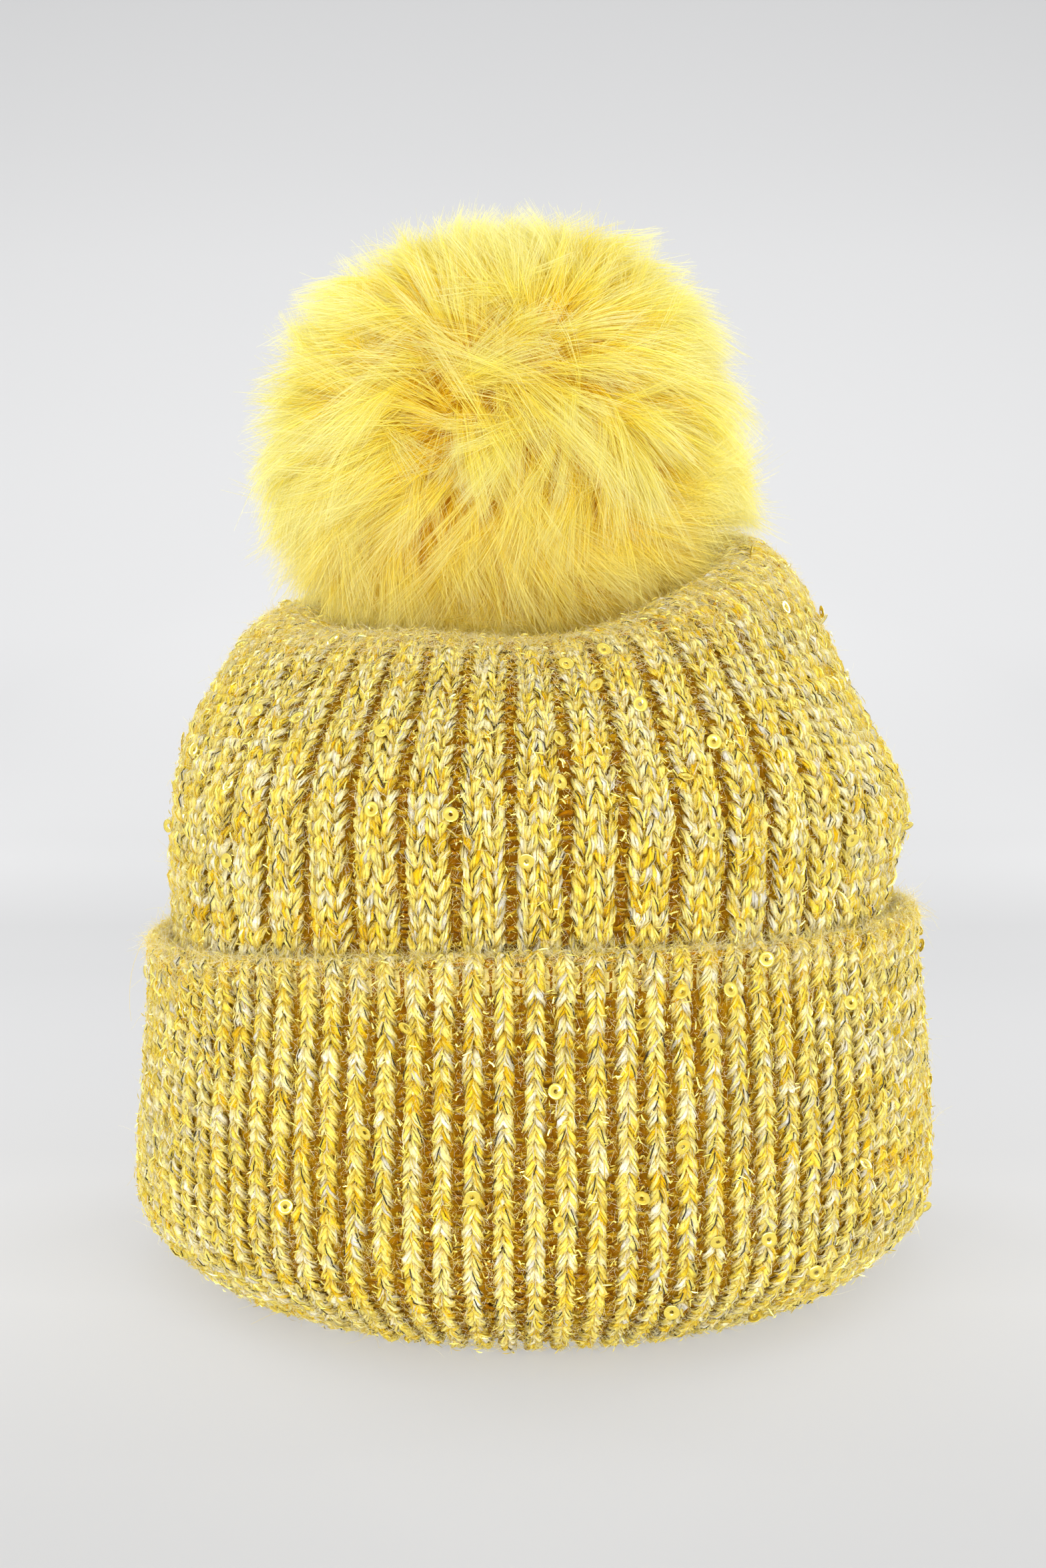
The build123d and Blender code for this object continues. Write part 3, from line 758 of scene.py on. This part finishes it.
def fur(strands, clumps, pts, pieces):
    rng = np.random.default_rng(9)
    flow = waves(rng, 16, 3.4)
    tuft = unit(fibonacci(clumps) + rng.normal(0, 0.03, (clumps, 3)))
    d = unit(rng.normal(size=(int(strands * 1.08), 3)))
    d = d[d[:, 2] > -0.93][:strands]
    n = len(d)
    # nearest tuft, and a finer one inside it
    own = np.empty(n, int)
    for lo in range(0, n, 20000):
        own[lo:lo + 20000] = np.argmax(d[lo:lo + 20000] @ tuft.T, axis=1)
    fine_n = clumps * 5
    fine = unit(fibonacci(fine_n) + rng.normal(0, 0.012, (fine_n, 3)))
    own2 = np.empty(n, int)
    for lo in range(0, n, 5000):
        own2[lo:lo + 5000] = np.argmax(d[lo:lo + 5000] @ fine.T, axis=1)
    at_part = np.clip((np.arccos(np.clip(tuft @ PART, -1, 1)) - 0.12) / 0.75, 0, 1)
    t_lean = 0.30 + 0.24 * rng.random(clumps)
    t_len = np.clip(0.955 + 0.075 * rng.normal(size=clumps), 0.8, 1.04)
    t_turn = (0.34 + 0.55 * (1 - at_part))[:, None] * rng.normal(size=(clumps, 3))
    t_tone = 0.07 * rng.normal(size=clumps)
    f_turn = 0.22 * rng.normal(size=(fine_n, 3))
    f_len = 0.985 + 0.045 * rng.normal(size=fine_n)

    def tip_of(dd, ti, fi, jitter, long):
        t, much = lay(dd, flow)
        t = unit(t + t_turn[ti] + f_turn[fi] + jitter)
        t = unit(t - (t * dd).sum(-1, keepdims=True) * dd)
        lean = t_lean[ti][:, None] * much
        e = unit(dd * np.cos(lean) + t * np.sin(lean))
        reach = np.minimum(extent(e) * t_len[ti] * f_len[fi], extent(e) * 1.02) * long
        for at, more, wide in TUFTS:
            reach = reach * (1 + more * np.exp(-(np.arccos(np.clip(e @ at, -1, 1)) / wide) ** 2))
        return POM_C + e * reach[:, None], t

    jit = 0.16 * rng.normal(size=(n, 3))
    long = 0.86 + 0.15 * rng.random(n) ** 0.7
    tip, lie = tip_of(d, own, own2, jit, long)
    tip_t, _ = tip_of(tuft[own], own, own2, 0 * jit, long)
    tip_f, _ = tip_of(fine[own2], own, own2, 0 * jit, long)
    root = PELT_C + d * np.array([40.0, 40.0, 37.5])
    L = np.linalg.norm(tip - root, axis=1)
    end = tip + (tip_t - tip) * 0.27 + (tip_f - tip) * 0.40
    low = np.clip((-d[:, 2] - 0.05) / 0.25, 0, 1) * np.clip((0.9 + d[:, 2]) / 0.2, 0, 1) * (rng.random(n) < 0.4)
    end = end + unit(end - POM_C) * (low * rng.uniform(1.0, 6.5, n))[:, None] - np.array([0, 0, 1.0]) * (low * rng.uniform(0, 3.0, n))[:, None]
    mid = root + d * (0.50 * L)[:, None] + lie * (0.02 * L)[:, None]
    t = np.linspace(0, 1, pts)[None, :, None]
    c = (1 - t) ** 2 * root[:, None] + 2 * t * (1 - t) * mid[:, None] + t**2 * end[:, None]
    sag = np.array([0, 0, -1.0]) * (rng.uniform(0.3, 2.2, (n, 1, 1))) * t**2
    wave_d = unit(np.cross(lie, rng.normal(size=(n, 3))))
    wob = np.sin(t * rng.uniform(3, 8, (n, 1, 1)) + rng.uniform(0, TAU, (n, 1, 1))) * 0.9 * t * (1.2 - t)
    c = c + sag + wave_d[:, None] * wob
    stray = rng.random(n) < 0.05
    c[stray] += (rng.normal(0, 2.2, (stray.sum(), 1, 3))) * (t**2)
    tt = t[..., 0]
    w = (0.175 * (1 - 0.8 * tt**1.5)) * rng.uniform(0.75, 1.25, (n, 1))
    stops = np.array([0.0, 0.38, 0.7, 1.0])
    tones = np.array([lin(253, 212, 14), lin(253, 236, 84), lin(252, 245, 142), lin(251, 248, 188)])
    g = np.clip(tt + 0.13 * rng.normal(size=(n, 1)) + t_tone[own][:, None], 0, 1)
    col = np.stack([np.interp(g, stops, tones[:, k]) for k in range(3)], -1) * rng.uniform(0.9, 1.0, (n, 1, 1))
    # painted shade: strands on the underside, most of all near their roots, are tinted a deeper amber with much less
    # blue
    under = np.clip((-d[:, 2] - 0.05) / 0.55, 0, 1)[:, None, None] * (1.15 - 0.75 * tt[..., None])
    col = col * (1 - under * np.array([-0.04, 0.09, 0.62]))
    order = np.argsort(np.arctan2(d[:, 1], d[:, 0]))
    made = []
    for k, idx in enumerate(np.array_split(order, pieces)):
        v, f = ribbons(c[idx], rng.normal(size=(len(idx), 3)), w[idx])
        o = add_mesh(f"pom_pile_{k:02d}", v, f, M_FUR, np.repeat(col[idx].reshape(-1, 3), 2, 0))
        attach(o, "pom")
        made.append(o)
    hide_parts("pom_fur")
    return made


fur(128000, 1080, 5, 8)

# ------------------------------------------------------------------ hidden and small parts keep their CAD shapes
for node, mat in {
    "pom_backing": M_PELT, "pom_stuffing": M_FILL, "pom_gather_thread": M_THREAD, "pom_sewing_thread": M_THREAD,
    "socket_cap": M_METAL, "socket_spring": M_METAL, "stud_base": M_METAL, "stud_backing_disc": M_DISC, "stud_thread_shank": M_THREAD,
    "crown_gather_thread": M_THREAD, "care_label": M_LABEL, "care_label_stitches": M_THREAD, "brim_tack_stitches": M_THREAD,
    "crown_back_seam": M_BACK, "brim_back_seam": M_BACK,
}.items():
    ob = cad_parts[node]
    ob.data.materials.clear()
    ob.data.materials.append(mat)
    if mat is M_BACK:
        at = ob.data.color_attributes.new("tint", "FLOAT_COLOR", "POINT")
        at.data.foreach_set("color", np.tile(np.array([*lin(214, 184, 100), 1.0], np.float32), (len(ob.data.vertices), 1)).ravel())

# ------------------------------------------------------------------ floor, light, camera
floor_pts, floor_faces, shade = [], [], []
curve = [(-3.0, 0.0), (-1.0, 0.0), (-0.3, 0.0), (-0.15, 0.0), (-0.05, 0.0), (0.03, 0.0)] + [(q, 0.0) for q in np.linspace(0.1, 1.4, 14)]
curve += [(1.4 + 0.9 * math.sin(q), 0.9 - 0.9 * math.cos(q)) for q in np.linspace(0.1, math.pi / 2, 18)] + [(2.3, z) for z in (1.1, 1.3, 1.6, 3.4)]
for y, z in curve:
    # painted light and shade: the backdrop's tint changes along its sweep, brightest around the hat's base, where it
    # lifts the hat's contact shadow, and darker towards the top of the wall
    tint_with_painted_light = np.interp(y, [-0.3, -0.05, 0.1, 0.25, 0.5, 0.7, 1.0, 1.4, 1.6], [0.262, 0.328, 0.285, 0.271, 0.237, 0.220, 0.226, 0.239, 0.247])
    tint_with_painted_light *= np.interp(z, [0.0, 0.2, 0.45, 0.6, 0.75, 0.95, 1.15], [1.0, 1.09, 1.06, 1.03, 0.995, 0.905, 0.82])
    floor_pts += [(-3500, y * 1000, z * 1000), (3500, y * 1000, z * 1000)]
    shade += [(tint_with_painted_light, tint_with_painted_light, tint_with_painted_light * 1.004)] * 2
for k in range(len(curve) - 1):
    floor_faces.append((2 * k, 2 * k + 1, 2 * k + 3, 2 * k + 2))
M_FLOOR = material("backdrop", attr="tint", rough=0.9, spec=0.1, painted_glow=1.35)   # painted light: the backdrop glows in its own tint, which lifts the shadows on it and lights the hat from below
floor = add_mesh("backdrop", np.array(floor_pts), np.array(floor_faces), M_FLOOR, np.array(shade))

scene = bpy.context.scene
scene.view_settings.view_transform = "Standard"
scene.view_settings.look = "None"
world = bpy.data.worlds.new("studio")
scene.world = world
world.use_nodes = True
world.node_tree.nodes["Background"].inputs["Color"].default_value = (0.975, 0.985, 1.0, 1)
world.node_tree.nodes["Background"].inputs["Strength"].default_value = 0.75


def area(name, place, aim, size, power, colour=(1, 1, 1)):
    d = bpy.data.lights.new(name, "AREA")
    d.shape = "RECTANGLE"
    d.size, d.size_y = size
    d.energy = power
    d.color = colour
    o = bpy.data.objects.new(name, d)
    o.location = place
    o.rotation_mode = "QUATERNION"
    o.rotation_quaternion = (Vector(aim) - Vector(place)).to_track_quat("-Z", "Y")
    scene.collection.objects.link(o)
    return o


area("key", (0.7, -1.1, 0.6), (0, 0, 0.14), (0.9, 0.9), 2.3, (1.0, 0.99, 0.97))
area("fill", (-0.9, -1.0, 0.4), (0, 0, 0.14), (1.0, 1.0), 2.2)
area("front", (0.0, -1.4, 0.10), (0, 0, 0.16), (1.7, 0.24), 22.0)
area("back_left", (-1.2, 1.1, 0.55), (0, 0, 0.13), (0.9, 0.7), 12.5)
area("back_right", (1.2, 1.1, 0.55), (0, 0, 0.13), (0.9, 0.7), 12.5)
area("wall", (0.0, 0.6, 1.7), (0, 2.3, 0.8), (3.0, 0.9), 50.0, (0.985, 0.99, 1.0))

cam_d = bpy.data.cameras.new("camera")
cam_d.lens = 3000 / 2350 * 36
cam_d.sensor_width = 36
cam_d.sensor_fit = "AUTO"
cam_d.clip_start, cam_d.clip_end = 0.02, 20
cam = bpy.data.objects.new("camera", cam_d)
cam.location = (-0.0018, -0.498, 0.136)
cam.rotation_euler = (math.radians(90 - 2.4), 0, 0)
scene.collection.objects.link(cam)
scene.camera = cam
